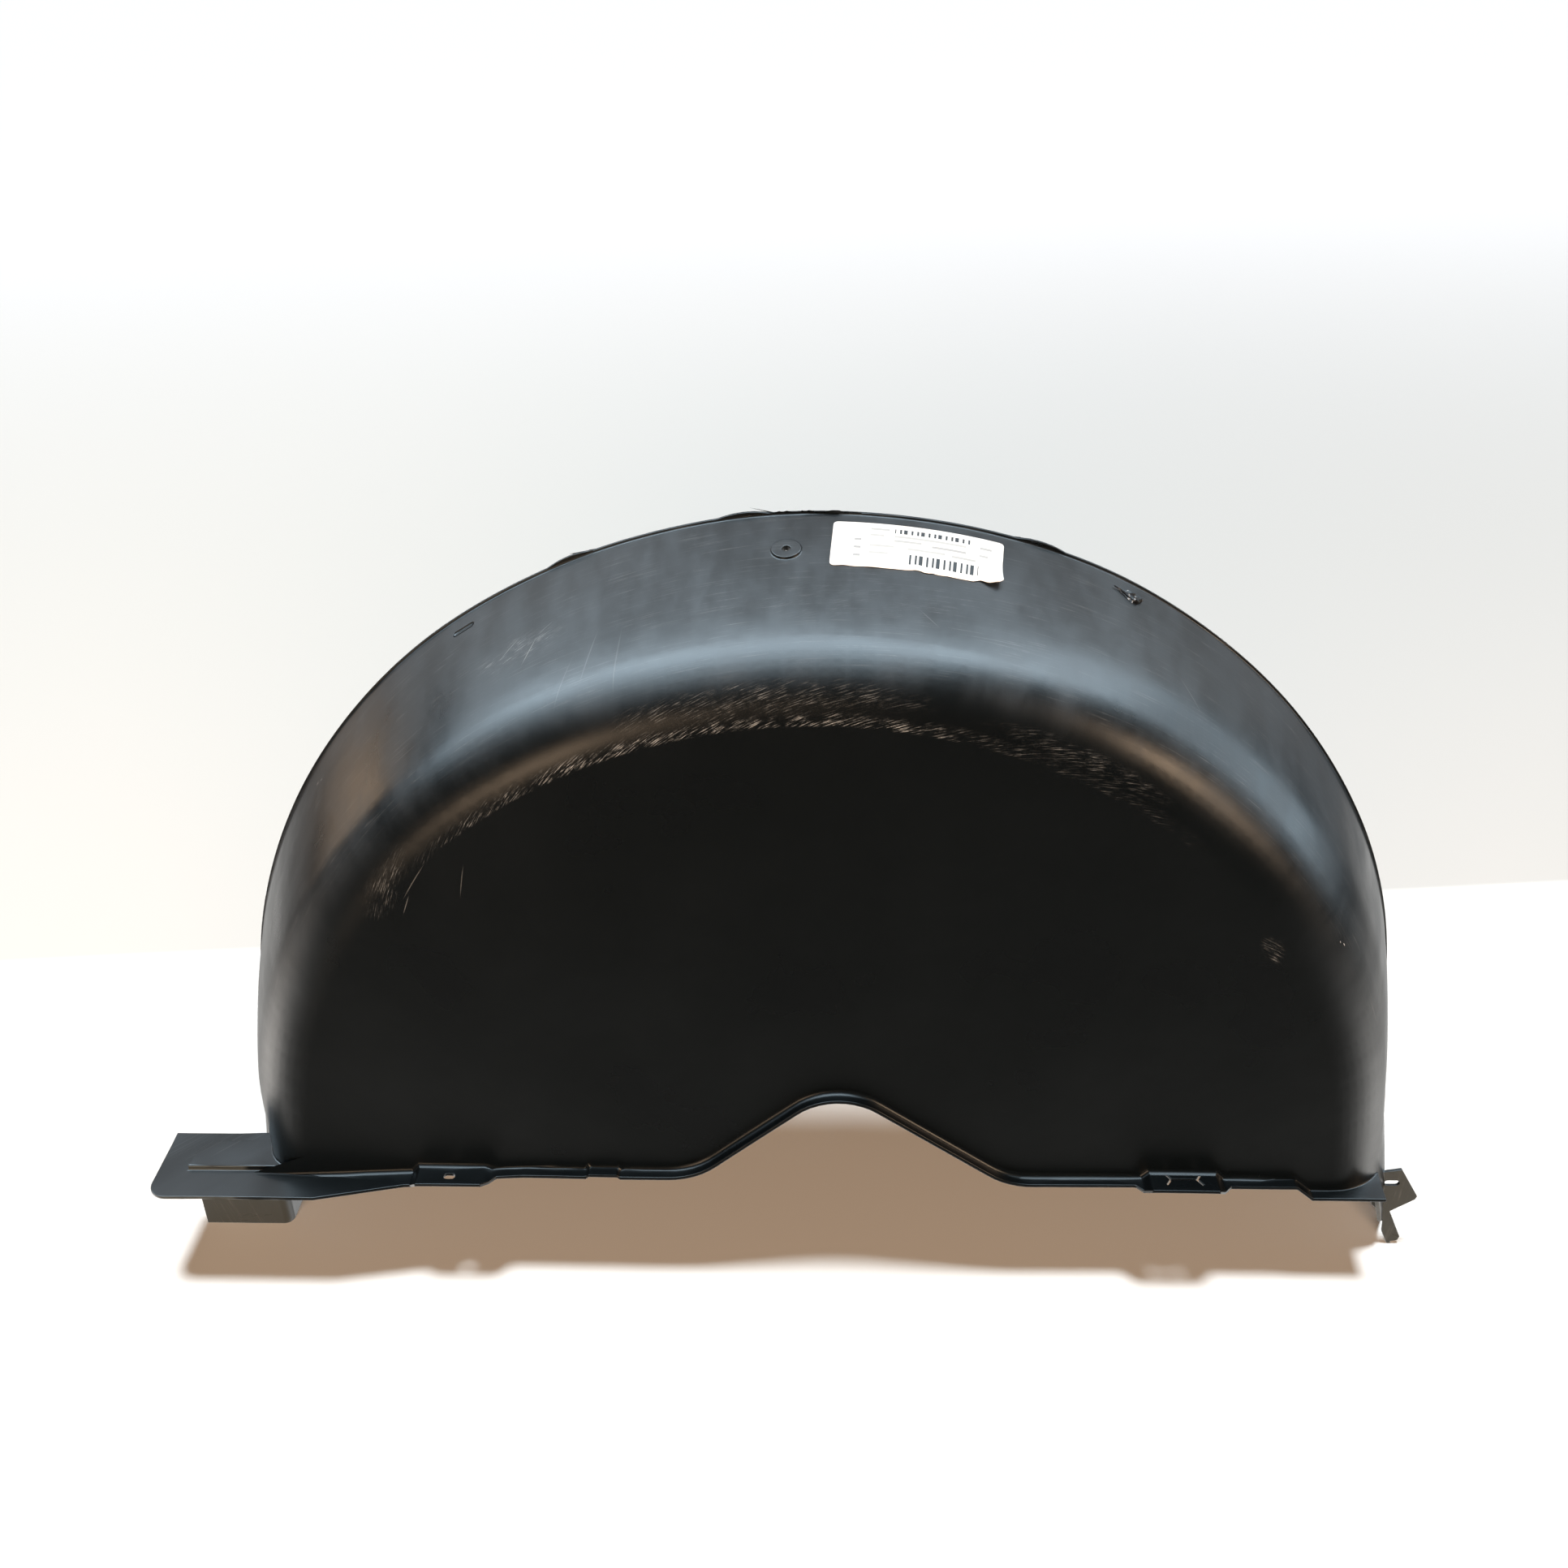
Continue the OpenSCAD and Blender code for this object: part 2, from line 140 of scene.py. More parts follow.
# The eye: its place from the arch's centre in millimetres, its axes, and the picture's focal length and width
# in pixels
EYE_PLACE = (5.5, -778.5, 766.2)
EYE_RIGHT = Vector((0.999632, 0.024517, -0.011638))
EYE_UP = Vector((-0.002185, 0.500131, 0.865947))
EYE_AHEAD = Vector((-0.027051, 0.865603, -0.5))
FOCAL_PX, FRAME_PX = 1850, 1932
SENSOR = 36.0


def crown_r(y):
    """Outer radius of the flared crown at depth y, in millimetres."""
    return TURN_R + (y - TURN_Y) * math.tan(FLARE)


def to_row(x, y, z):
    """A point of the arch frame in millimetres, as a point of the row frame in metres."""
    return Vector((x + ARCH.x, y + ARCH.y, z + ARCH.z)) * MM


def eased(value, start, end):
    """0 at the start and 1 at the end, and smooth between."""
    share = np.clip((value - start) / (end - start), 0, 1)
    return share * share * (3 - 2 * share)


def roll_at(along, angle):
    """How far the skin stands off the drawn section, at a length along it and an angle from the top."""
    share = eased(angle, FULL_FROM, FULL_TOP) * eased(angle, FULL_END, FULL_DOWN)
    return np.interp(along, ROLL_FINE, ROLL_OUT) * (1 - share) + np.interp(along, ROLL_FINE, FULL_OUT) * share


def on_crown(angle, y, lift=0.0):
    """A point on the crown at an angle from the top, at depth y and lifted off it, in the row frame."""
    lift += float(roll_at(TURN_LENGTH + (y - TURN_Y) / math.cos(FLARE), angle))
    r = crown_r(y) + lift * math.cos(FLARE)
    return to_row(r * math.sin(angle), y - lift * math.sin(FLARE), r * math.cos(angle))


def linear(hex_colour):
    """Linear colour of an sRGB hex value."""
    part = [int(hex_colour[i : i + 2], 16) / 255 for i in (1, 3, 5)]
    return [c / 12.92 if c <= 0.04045 else ((c + 0.055) / 1.055) ** 2.4 for c in part]


# Sizes and colours that a user may change


class LinerSettings(bpy.types.PropertyGroup):
    step: bpy.props.FloatProperty(
        name="Mesh step", description="Longest edge left on a curved face", default=0.007, min=0.003,
        unit="LENGTH")
    flat_step: bpy.props.FloatProperty(
        name="Flat step", description="Longest edge left on a flat face", default=0.024, min=0.01,
        unit="LENGTH")
    edge: bpy.props.FloatProperty(
        name="Edge round", description="Width of the rounding on the moulding's edges", default=0.0006,
        min=0.0, max=0.001, unit="LENGTH")
    warp: bpy.props.FloatProperty(
        name="Warp", description="How far the thin skin wanders from its drawn shape", default=0.0009,
        min=0.0, max=0.003, unit="LENGTH")
    warp_size: bpy.props.FloatProperty(
        name="Warp length", description="Length over which the skin wanders", default=0.19, min=0.05,
        unit="LENGTH")
    inner_edge: bpy.props.FloatProperty(
        name="Inside edge", description="Width of the fillet in the moulding's inside edges", default=0.001,
        min=0.0, max=0.002, unit="LENGTH")
    fold_r: bpy.props.FloatProperty(
        name="Fold width", description="Width of the fillet where the side wall turns into the lip",
        default=0.0034, min=0.001, max=0.005, unit="LENGTH")
    panel_edge: bpy.props.FloatProperty(
        name="Panel edge", description="Width of the panel's fillet as a share of the fold's", default=0.45,
        min=0.0, max=1.0, subtype="FACTOR")


class LabelSettings(bpy.types.PropertyGroup):
    thickness: bpy.props.FloatProperty(
        name="Thickness", description="Thickness of the paper", default=0.0003, min=0.0001, unit="LENGTH")
    curl: bpy.props.FloatProperty(
        name="Curl", description="How far the loose corner stands off the crown", default=0.006, min=0.0,
        unit="LENGTH")
    wrinkle: bpy.props.FloatProperty(
        name="Wrinkle", description="Height of the wrinkles in the paper", default=0.0004, min=0.0,
        unit="LENGTH")


class StageSettings(bpy.types.PropertyGroup):
    floor: bpy.props.FloatVectorProperty(
        name="Floor", description="Colour of the pale floor", default=linear("#f2f1ef"), subtype="COLOR",
        min=0.0, max=1.0)
    overhead: bpy.props.FloatProperty(
        name="Overhead light", description="Brightness of the long light over the arch", default=12.0,
        min=0.0)
    sky: bpy.props.FloatProperty(
        name="Room light", description="Brightness of the pale room behind", default=0.95, min=0.0)
    above: bpy.props.FloatProperty(
        name="Light above", description="Strength of the soft light straight above", default=3.6, min=0.0)
    front: bpy.props.FloatProperty(
        name="Warm light", description="Power of the warm light in front", default=235.0, min=0.0)


# Small helpers


def feed(tree, node, inputs):
    """Sets or links a node's inputs: a list of (socket's name or number, value, amount or output socket)."""
    for name, value in inputs:
        socket = node.inputs[name]
        if isinstance(value, Amount):
            value = value.socket
        if isinstance(value, bpy.types.NodeSocket):
            tree.links.new(value, socket)
        elif socket.type == "RGBA":
            socket.default_value = (*value, 1.0)
        else:
            socket.default_value = value


def add_node(tree, kind, inputs=(), **settings):
    """Adds one node: settings are its attributes, and inputs are what feed takes."""
    made = tree.nodes.new(kind)
    for name, value in settings.items():
        setattr(made, name, value)
    feed(tree, made, inputs)
    return made


class Amount:
    """A number that a node gives. Each sum with it adds the node that works it out."""

    def __init__(self, tree, socket):
        self.tree = tree
        self.socket = socket

    def by(self, operation, *others):
        """This number and others, through an operation of the maths node."""
        made = add_node(self.tree, "ShaderNodeMath", list(enumerate((self, *others))), operation=operation)
        return Amount(self.tree, made.outputs[0])

    def ramp(self, low, high, start=0.0, end=1.0):
        """Takes this number from low..high smoothly to start..end."""
        made = add_node(
            self.tree, "ShaderNodeMapRange",
            [("Value", self), ("From Min", low), ("From Max", high), ("To Min", start), ("To Max", end)],
            interpolation_type="SMOOTHSTEP")
        return Amount(self.tree, made.outputs[0])

    def __add__(self, other):
        return self.by("ADD", other)

    def __sub__(self, other):
        return self.by("SUBTRACT", other)

    def __mul__(self, other):
        return self.by("MULTIPLY", other)


def most(first, *others):
    """The largest of several amounts."""
    for one in others:
        first = first.by("MAXIMUM", one)
    return first


def parts_of(tree, vector):
    """The three parts of a vector, as amounts."""
    made = add_node(tree, "ShaderNodeSeparateXYZ", [(0, vector)])
    return [Amount(tree, part) for part in made.outputs]


def new_object(name, mesh):
    piece = bpy.data.objects.new(name, mesh)
    bpy.context.scene.collection.objects.link(piece)
    return piece


def mesh_from(name, points, faces):
    mesh = bpy.data.meshes.new(name)
    mesh.from_pydata([tuple(p) for p in points], [], [tuple(f) for f in faces])
    mesh.validate()
    return mesh


def bake(piece):
    """Puts the piece's evaluated shape in its mesh and takes its modifiers away."""
    bpy.context.view_layer.update()
    evaluated = piece.evaluated_get(bpy.context.evaluated_depsgraph_get())
    mesh = bpy.data.meshes.new_from_object(evaluated)
    piece.modifiers.clear()
    piece.data = mesh
    mesh.name = piece.name


def smooth(mesh, angle):
    """Shades the mesh smooth, with a sharp edge wherever its faces turn by more than the angle."""
    mesh.shade_smooth()
    mesh.set_sharp_from_angle(angle=math.radians(angle))


# The moulding's mesh


def roll_out(points):
    """Moves the skins out by the soft roll, slims the rim, and draws the legs in or out low down."""
    x, z = points[:, 0], points[:, 2]
    r, y, on_arch = section_of(points)
    turned = np.arctan2(r - WALL_R, np.maximum(SHOULDER_R - y, 1e-3))
    on_turn = y < TURN_Y
    along = np.where(
        on_turn, np.minimum(turned, TURN) * SHOULDER_R, TURN_LENGTH + (y - TURN_Y) / math.cos(FLARE))
    out = np.where((y > 0) & (r > WALL_R - 5), roll_at(along, np.arctan2(x, z)), 0.0)
    low_left = eased(z, 60, -30) * (x < 0)
    low_right = eased(z, 20, -60) * (x > 0)
    set_out = RIGHT_SET * low_right * eased(along, 30, 60)
    set_out -= LEFT_DRAW * low_left * eased(along, 20, 60) * eased(along, 125, 85)
    # The skin moves whole, the tongue follows near it, and its foot and the bracket stay where they are
    away = np.where(
        on_turn, np.hypot(r - WALL_R, y - SHOULDER_R) - SHOULDER_R, (r - crown_r(y)) * math.cos(FLARE))
    follow = np.where(skins_of(points) > 0, 1.0, eased(away, 12, 3) * (z > PANEL_TOP - 10))
    out += np.where(y > 0, set_out * follow, 0.0)
    tilt = np.where(on_turn, np.minimum(turned, TURN), TURN)
    dr, dy = out * np.sin(tilt), -out * np.cos(tilt)
    # The drawn rim is thicker than the real one looks: its outside comes in to a thin line round the crown
    on_rim = (y > DEPTH - SKIN - 0.1) & (r > crown_r(DEPTH) + 0.3)
    dr = dr - np.where(on_rim, RIM_W - RIM_SEEN, 0.0)
    flat = np.maximum(np.hypot(x, z), 1e-6)
    across = np.where(on_arch, x / flat, np.sign(x) * math.cos(LEAN))
    upward = np.where(on_arch, z / flat, math.sin(LEAN))
    moved = points + np.stack([across * dr, dy, upward * dr], 1)
    # Nothing sinks under the floor
    moved[:, 2] = np.maximum(moved[:, 2], -ARCH.z)
    return moved


def section_of(points):
    """Section radius and depth of points in the arch frame, and which are on the arch and not on a leg."""
    x, y, z = points.T
    on_arch = np.arctan2(z, np.abs(x)) > LEAN - 1e-4
    leg_r = np.abs(x) * math.cos(LEAN) + z * math.sin(LEAN)
    return np.where(on_arch, np.hypot(x, z), leg_r), y, on_arch


def skins_of(points, near=0.12):
    """For each point, bits that say on which of the section's swept faces it lies."""
    r, y, _ = section_of(points)
    bits = np.zeros(len(points), int)
    from_centre = np.hypot(r - WALL_R, y - SHOULDER_R)
    in_turn = (r > WALL_R - near) & (y < TURN_Y + near * 10)
    crown = (r - TURN_R - (y - TURN_Y) * math.tan(FLARE)) * math.cos(FLARE)
    for bit, inset in enumerate((0.0, SKIN)):
        bits |= (in_turn & (np.abs(from_centre - (SHOULDER_R - inset)) < near)).astype(int) << bit
        bits |= ((y > TURN_Y - 1) & (np.abs(crown + inset) < near)).astype(int) << (2 + bit)
    bits |= ((y > DEPTH - SKIN - near) & (np.abs(r - crown_r(DEPTH) - RIM_W) < near)).astype(int) << 4
    return bits


def edge_middles(points, pairs, bits):
    """Middles of the edges, put on the swept face that both ends of an edge lie on."""
    a, b = points[pairs[:, 0]], points[pairs[:, 1]]
    middle = (a + b) / 2
    shared = bits[pairs[:, 0]] & bits[pairs[:, 1]]
    ra, ya, arch_a = section_of(a)
    rb, yb, arch_b = section_of(b)
    both_arch = arch_a & arch_b & (shared > 0)
    r, y = (ra + rb) / 2, (ya + yb) / 2
    r = np.where(both_arch, r, section_of(middle)[0])
    turn_r, turn_y = r - WALL_R, y - SHOULDER_R
    away = np.hypot(turn_r, turn_y)
    for bit, inset in enumerate((0.0, SKIN)):
        on_turn = (shared >> bit) & 1 == 1
        k = (SHOULDER_R - inset) / np.maximum(away, 1e-6)
        r = np.where(on_turn, WALL_R + turn_r * k, r)
        y = np.where(on_turn, SHOULDER_R + turn_y * k, y)
    angle = (np.arctan2(a[:, 2], a[:, 0]) + np.arctan2(b[:, 2], b[:, 0])) / 2
    swept = np.stack([r * np.cos(angle), y, r * np.sin(angle)], 1)
    push = r - section_of(middle)[0]
    leg = middle + np.stack(
        [np.sign(middle[:, 0]) * math.cos(LEAN) * push, y - middle[:, 1], math.sin(LEAN) * push], 1)
    middle = np.where(both_arch[:, None], swept, middle)
    return np.where(((shared > 0) & ~both_arch)[:, None], leg, middle)


def split_long_edges(points, faces, limit, flat_limit):
    """Halves every edge that is too long, with new points on their swept face. True says none is left."""
    bits = skins_of(points)
    sides = np.sort(np.concatenate([faces[:, [0, 1]], faces[:, [1, 2]], faces[:, [2, 0]]]), axis=1)
    pairs, where = np.unique(sides, axis=0, return_inverse=True)
    length = np.linalg.norm(points[pairs[:, 0]] - points[pairs[:, 1]], axis=1)
    swept = (bits[pairs[:, 0]] & bits[pairs[:, 1]]) > 0
    long = length > np.where(swept, limit, flat_limit)
    if not long.any():
        return points, faces, True
    number = np.full(len(pairs), -1)
    number[long] = len(points) + np.arange(long.sum())
    points = np.concatenate([points, edge_middles(points, pairs[long], bits)])
    where = where.reshape(3, len(faces)).T
    made = []
    for face, cut in zip(faces.tolist(), number[where].tolist()):
        cuts = sum(c >= 0 for c in cut)
        if cuts == 0:
            made.append(face)
            continue
        turn = 0
        if cuts == 1:
            turn = next(i for i in range(3) if cut[i] >= 0)
        elif cuts == 2:
            turn = (next(i for i in range(3) if cut[i] < 0) + 1) % 3
        a, b, c = face[turn:] + face[:turn]
        ab, bc, ca = cut[turn:] + cut[:turn]
        if cuts == 1:
            made += [[a, ab, c], [ab, b, c]]
        elif cuts == 2:
            made.append([ab, b, bc])
            across = np.linalg.norm(points[a] - points[bc]), np.linalg.norm(points[ab] - points[c])
            made += [[a, ab, bc], [a, bc, c]] if across[0] < across[1] else [[a, ab, c], [ab, bc, c]]
        else:
            made += [[a, ab, ca], [ab, b, bc], [ca, bc, c], [ab, bc, ca]]
    return points, np.array(made), False


def arc_points(centre, radius, start, end, count=12):
    """Points of an arc in the plane of the side wall; its angles run from the vertical, clockwise."""
    turns = np.linspace(start, end, count)
    return [(centre[0] + radius * math.sin(a), centre[1] + radius * math.cos(a)) for a in turns]


def fold_path():
    """The fold between side wall and lip, from the left end to the web, across and up in millimetres."""
    left = [
        (-352, -5), (-285, -1.67), (-280, 4), (-234, 4), (-229, 1.75), (-205, 3.5), (-160.8, 3.5),
        (-159, 5.3), (-139, 5.3), (-137.2, 3.5)]
    right = [(227, -1), (232, 4), (278, 4), (283, -1), (334, -1), (346, -11.5)]
    return (
        left
        + arc_points(LEFT_FOOT, FOOT_R, math.pi, math.pi - LEFT_FLANK)
        + arc_points((WAVE_X, WAVE_TOP - CREST_R), CREST_R, -LEFT_FLANK, RIGHT_FLANK)
        + arc_points(RIGHT_FOOT, FOOT_R, math.pi + RIGHT_FLANK, math.pi)
        + right)


def near_path(points, path, near):
    """Which points, given across and up, lie within a distance of the path."""
    path = np.array(path, float)
    a, run = path[:-1], np.diff(path, axis=0)
    share = ((points[:, None] - a) * run).sum(2) / np.maximum((run * run).sum(1), 1e-9)
    foot = a + np.clip(share, 0, 1)[..., None] * run
    return np.linalg.norm(points[:, None] - foot, axis=2).min(1) < near


def weigh_edges(mesh, sizes):
    """Marks how wide each edge is rounded, as a share of the widest, which is the fold."""
    marked = bmesh.new()
    marked.from_mesh(mesh)
    weight = marked.edges.layers.float.new("bevel_weight_edge")
    places = np.array([v.co for v in marked.verts]) / MM - np.array(ARCH)
    on_fold = near_path(places[:, [0, 2]], fold_path(), 0.3) & (np.abs(places[:, 1]) < 0.1)
    on_panel = (np.abs(places[:, 2] - PANEL_TOP) < 0.05) & (places[:, 0] < -WALL_R - 50)
    for edge in marked.edges:
        if len(edge.link_faces) != 2 or edge.calc_face_angle(0.0) < math.radians(35):
            continue
        if all(on_panel[v.index] for v in edge.verts):
            edge[weight] = sizes.panel_edge
        elif edge.is_convex:
            edge[weight] = sizes.edge / sizes.fold_r
        elif all(on_fold[v.index] for v in edge.verts):
            edge[weight] = 1.0
        else:
            edge[weight] = sizes.inner_edge / sizes.fold_r
    marked.to_mesh(mesh)
    marked.free()


def refined_moulding(step, flat_step):
    """The solid's mesh with its flat faces joined and its swept faces cut finely along their true curves."""
    cut = bmesh.new()
    cut.from_mesh(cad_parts["liner"].data)
    bmesh.ops.remove_doubles(cut, verts=cut.verts, dist=1e-5)
    bmesh.ops.dissolve_limit(cut, angle_limit=math.radians(0.25), verts=cut.verts, edges=cut.edges)
    bmesh.ops.triangulate(cut, faces=cut.faces, quad_method="BEAUTY", ngon_method="BEAUTY")
    cut.verts.ensure_lookup_table()
    points = np.array([v.co for v in cut.verts]) / MM - np.array(ARCH)
    faces = np.array([[v.index for v in f.verts] for f in cut.faces])
    cut.free()
    done = False
    while not done:
        points, faces, done = split_long_edges(points, faces, step / MM, flat_step / MM)
    points = roll_out(points)
    return mesh_from("liner_moulding", (points + np.array(ARCH)) * MM, faces)


def warp_tree():
    """Geometry nodes that let a thin skin wander from its drawn shape by a soft noise in space."""
    tree = bpy.data.node_groups.new("Skin warp", "GeometryNodeTree")
    side = tree.interface
    wanted = {"Geometry": "Geometry", "Warp": "Float", "Length": "Float", "Material": "Material"}
    for name, kind in wanted.items():
        side.new_socket(name, in_out="INPUT", socket_type="NodeSocket" + kind)
    side.new_socket("Geometry", in_out="OUTPUT", socket_type="NodeSocketGeometry")
    given = add_node(tree, "NodeGroupInput").outputs
    place = add_node(tree, "GeometryNodeInputPosition").outputs[0]
    per_metre = add_node(tree, "ShaderNodeMath", [(0, 1.0), (1, given["Length"])], operation="DIVIDE")
    soft = add_node(
        tree, "ShaderNodeTexNoise",
        [("Vector", place), ("Scale", per_metre.outputs[0]), ("Detail", 1.0), ("Roughness", 0.4)])
    centred = add_node(
        tree, "ShaderNodeVectorMath", [(0, soft.outputs["Color"]), (1, (0.5, 0.5, 0.5))],
        operation="SUBTRACT")
    # The noise keeps within about a quarter of its middle, so four times it fills the wander asked for. It
    # fades out low down, so that what stands on the floor stays on it
    height = parts_of(tree, place)[2]
    full = Amount(tree, given["Warp"]) * 4.0 * height.ramp(0.0, 0.09)
    offset = add_node(
        tree, "ShaderNodeVectorMath", [(0, centred.outputs[0]), ("Scale", full)], operation="SCALE")
    moved = add_node(
        tree, "GeometryNodeSetPosition", [("Geometry", given["Geometry"]), ("Offset", offset.outputs[0])])
    real = add_node(tree, "GeometryNodeRealizeInstances", [("Geometry", moved.outputs[0])])
    dressed = add_node(
        tree, "GeometryNodeSetMaterial", [("Geometry", real.outputs[0]), ("Material", given["Material"])])
    add_node(tree, "NodeGroupOutput", [(0, dressed.outputs[0])])
    return tree


def put_through(piece, tree, values):
    """Runs the piece through a geometry nodes tree with its inputs set by name, and keeps the result."""
    made = piece.modifiers.new(tree.name, "NODES")
    made.node_group = tree
    for item in tree.interface.items_tree:
        if item.in_out == "INPUT" and item.name in values:
            made[item.identifier] = values[item.name]
    bake(piece)


def warp(piece, material):
    """Gives a piece the wander that the whole skin has, so that what lies on the skin stays on it."""
    sizes = bpy.context.scene.arch_liner
    tree = bpy.data.node_groups.get("Skin warp") or warp_tree()
    put_through(piece, tree, {"Warp": sizes.warp, "Length": sizes.warp_size, "Material": material})


# Materials


def arch_polar(tree):
    """Places on the arch, in metres: arc length from the top, radius, depth, height, and the place itself."""
    place = add_node(tree, "ShaderNodeTexCoord").outputs["Object"]
    from_centre = add_node(
        tree, "ShaderNodeVectorMath", [(0, place), (1, ARCH * MM)], operation="SUBTRACT").outputs[0]
    across, depth, height = parts_of(tree, from_centre)
    flat = add_node(tree, "ShaderNodeCombineXYZ", [(0, across), (1, height)]).outputs[0]
    radius = add_node(tree, "ShaderNodeVectorMath", [(0, flat)], operation="LENGTH").outputs["Value"]
    arc = across.by("ARCTAN2", height) * (WALL_R * MM)
    return {
        "arc": arc, "radius": Amount(tree, radius), "depth": depth, "height": height, "place": from_centre}


def noise_of(tree, vector, length, width, detail, rough, turn=0.0):
    """Noise in grains of a length and a width in millimetres, turned by degrees, as an amount round 0.5."""
    grains = add_node(
        tree, "ShaderNodeMapping",
        [("Vector", vector), ("Rotation", (0, 0, math.radians(turn))),
         ("Scale", (length * MM, width * MM, width * MM))], vector_type="TEXTURE")
    made = add_node(
        tree, "ShaderNodeTexNoise",
        [("Vector", grains.outputs[0]), ("Scale", 1.0), ("Detail", detail), ("Roughness", rough)])
    return Amount(tree, made.outputs[0])


def coated(tree, under, *coats):
    """A colour with others laid over it in turn, each given as its share and its colour."""
    for share, colour in coats:
        made = add_node(tree, "ShaderNodeMix", data_type="RGBA")
        feed(tree, made, [(0, share), (6, under), (7, colour)])
        under = made.outputs[2]
    return under


def new_material(name):
    material = bpy.data.materials.new(name)
    material.use_nodes = True
    tree = material.node_tree
    tree.nodes.clear()
    surface = add_node(tree, "ShaderNodeBsdfPrincipled")
    out = add_node(tree, "ShaderNodeOutputMaterial")
    tree.links.new(surface.outputs[0], out.inputs["Surface"])
    return material, tree, surface


def moulded_polypropylene():
    """Injection-moulded black polypropylene: satin, scuffed pale by handling, dusty where it faces up and
    painted with a grey sheen there.
    """
    material, tree, surface = new_material("Black moulded polypropylene")
    at = arch_polar(tree)
    place, arc, radius, depth = at["place"], at["arc"], at["radius"], at["depth"]
    # The skin unrolled flat: arc length across, and the way from the axis over the shoulder to the rim
    flat = add_node(tree, "ShaderNodeCombineXYZ", [(0, arc), (1, radius + depth)]).outputs[0]

    def spots(marks):
        """How pale the skin is inside ellipses of the unrolled skin, which fade over their outer part."""
        for share, across, way, length, width, turn in marks:
            inside = add_node(
                tree, "ShaderNodeMapping",
                [("Vector", flat), ("Location", (across * MM, way * MM, 0)),
                 ("Rotation", (0, 0, math.radians(turn))), ("Scale", (length * MM, width * MM, 1))],
                vector_type="TEXTURE").outputs[0]
            away = add_node(tree, "ShaderNodeVectorMath", [(0, inside)], operation="LENGTH").outputs["Value"]
            yield Amount(tree, away).ramp(0.35, 1.0, 1.0, 0.0) * share

    # Slanted pale scratches in a narrow belt along the ridge, where it was rubbed, and in a few rubbed places
    belt = radius.ramp(0.3545, 0.3565) * radius.ramp(0.3575, 0.3660, 1.0, 0.0)
    belt *= arc.ramp(-0.30, -0.12) * arc.ramp(-0.03, 0.16, 1.0, 0.12) * arc.ramp(0.18, 0.28, 1.0, 0.0)
    hatch = noise_of(tree, flat, 11, 0.8, 3.0, 0.65, turn=24).ramp(0.5, 0.7)
    patchy = noise_of(tree, flat, 14.3, 14.3, 4.0, 0.7).ramp(0.36, 0.66)
    scuffs = most(belt, *spots(RUBBED_PLACES)) * 0.8 * hatch * patchy

    # Single scratches and specks, and fine brush marks that run round the crown in patches
    brushed = noise_of(tree, flat, 40, 1.6, 3.0, 0.6, turn=4).ramp(0.52, 0.74)
    brushed *= patchy * 0.10 * depth.ramp(0.008, 0.02)
    lines = most(brushed, *spots(SCRATCHES))

    # Dust where the skin faces up, which also paints the crown's grey sheen: a pale grey on up-facing faces,
    # wiped into faint clouds and streaks, and wholly off the lip
    _, back, up = parts_of(tree, add_node(tree, "ShaderNodeNewGeometry").outputs["Normal"])
    wiped = noise_of(tree, flat, 29.4, 111, 4.0, 0.6)
    dust_and_sheen = up.ramp(0.1, 0.95) * wiped.ramp(0.3, 0.7, 0.15, 1.0)
    dust_and_sheen *= most(depth.ramp(0.0, 0.012), radius.ramp(0.385, 0.404))

    # Painted light: the faces that look forward on the tongue's foot and the bracket are painted a lighter
    # grey, as if lit from the front
    ends = radius.ramp(0.404, 0.410) * depth.ramp(0.045, 0.040)
    ends *= at["height"].ramp(0.004, 0.0) * back.ramp(-0.4, -0.9)
    base = coated(
        tree, linear("#040607"), (dust_and_sheen * 0.065, linear("#8b929a")), (ends * 0.15, linear("#7d8380")),
        (most(scuffs, lines), linear("#b4b6b6")))

    cloudy = noise_of(tree, place, 111, 111, 4.0, 0.55)
    rough = cloudy.ramp(0.25, 0.75, 0.26, 0.32) + scuffs * 0.25
    rough += wiped.ramp(0.35, 0.65, 0.0, 0.06) * depth.ramp(0.0, 0.012)
    # The mould's own grain, which is too fine to show and so is drawn a millimetre wide, and a soft swell
    fine = noise_of(tree, place, 1.11, 1.11, 2.0, 0.6)
    grain = add_node(tree, "ShaderNodeBump", [("Height", fine), ("Strength", 0.12), ("Distance", 0.0002)])
    soft = noise_of(tree, place, 25, 25, 2.0, 0.5)
    swell = add_node(
        tree, "ShaderNodeBump",
        [("Height", soft), ("Strength", 0.25), ("Distance", 0.0008), ("Normal", grain.outputs[0])])
    feed(tree, surface, [("Base Color", base), ("Roughness", rough), ("Normal", swell.outputs[0])])
    surface.inputs["IOR"].default_value = 1.49
    return material


def label_paper():
    """Coated white label paper: a soft sheen, printed with thin greys and bars that mean nothing."""
    material, tree, surface = new_material("Coated label paper")
    across, up, _ = parts_of(tree, add_node(tree, "ShaderNodeUVMap").outputs[0])

    def box(x0, x1, y0, y1):
        """1 inside a rectangle of the label's own sheet, from its near left corner, 0 to 1 each way."""
        held = across.by("GREATER_THAN", x0) * across.by("LESS_THAN", x1)
        return held * up.by("GREATER_THAN", y0) * up.by("LESS_THAN", y1)

    # Every third bar is wide all along, so the bars carry nothing
    stroke = (across * 30.0).by("FRACT")
    narrow = (across * 10.0).by("FRACT").by("GREATER_THAN", 0.34)
    bars = stroke.by("GREATER_THAN", narrow * 0.3 + 0.35)
    ink = most(
        bars * most(box(0.36, 0.80, 0.80, 0.90), box(0.44, 0.86, 0.12, 0.34)),
        *(box(x0, x1, y, y + RULE_HEIGHT) * dark for x0, x1, y, dark in LABEL_RULES))
    feed(tree, surface, [("Base Color", coated(tree, linear("#f1f1f0"), (ink, linear("#161618"))))])
    surface.inputs["Roughness"].default_value = 0.5
    return material


